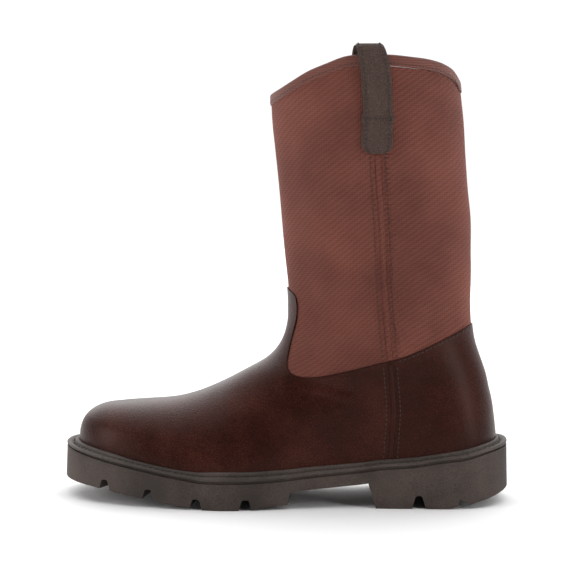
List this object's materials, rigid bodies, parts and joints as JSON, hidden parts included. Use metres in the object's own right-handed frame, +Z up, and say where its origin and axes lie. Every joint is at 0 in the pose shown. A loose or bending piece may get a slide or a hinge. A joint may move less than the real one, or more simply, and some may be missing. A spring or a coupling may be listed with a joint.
{
  "type": "western work boot",
  "caption": "Pull-on western work boot, left foot: leather foot with a high front tab, woven shaft, pull loops, scalloped bound collar, stitched welt and lugged rubber sole with a heel.",
  "frame": {"origin": "on the floor, under the middle of the boot's box", "axes": "+Z up, the toe points along -X, the outer side of the left foot faces -Y, the inner side +Y"},
  "size_m": [0.3188, 0.1198, 0.3165],
  "materials": {
    "outsole_rubber": "matte moulded",
    "welt": "matte, stitched",
    "insole": "matte cloth cover",
    "foot_leather": "semi-gloss pebbled full grain",
    "shaft_cloth": "matte heavy woven nylon",
    "strap_leather": "matte pebbled",
    "binding_tape": "matte ribbed tape"
  },
  "bodies": {
    "root": {"outsole": "outsole_rubber", "welt": "welt", "insole": "insole", "upper": "foot_leather", "shaft": "shaft_cloth", "collar_binding": "binding_tape", "seam_shaft_outer": "shaft_cloth", "seam_foot_outer": "foot_leather", "pull_strap_outer": "strap_leather", "seam_shaft_inner": "shaft_cloth", "seam_foot_inner": "foot_leather", "pull_strap_inner": "strap_leather"}
  },
  "joints": []
}
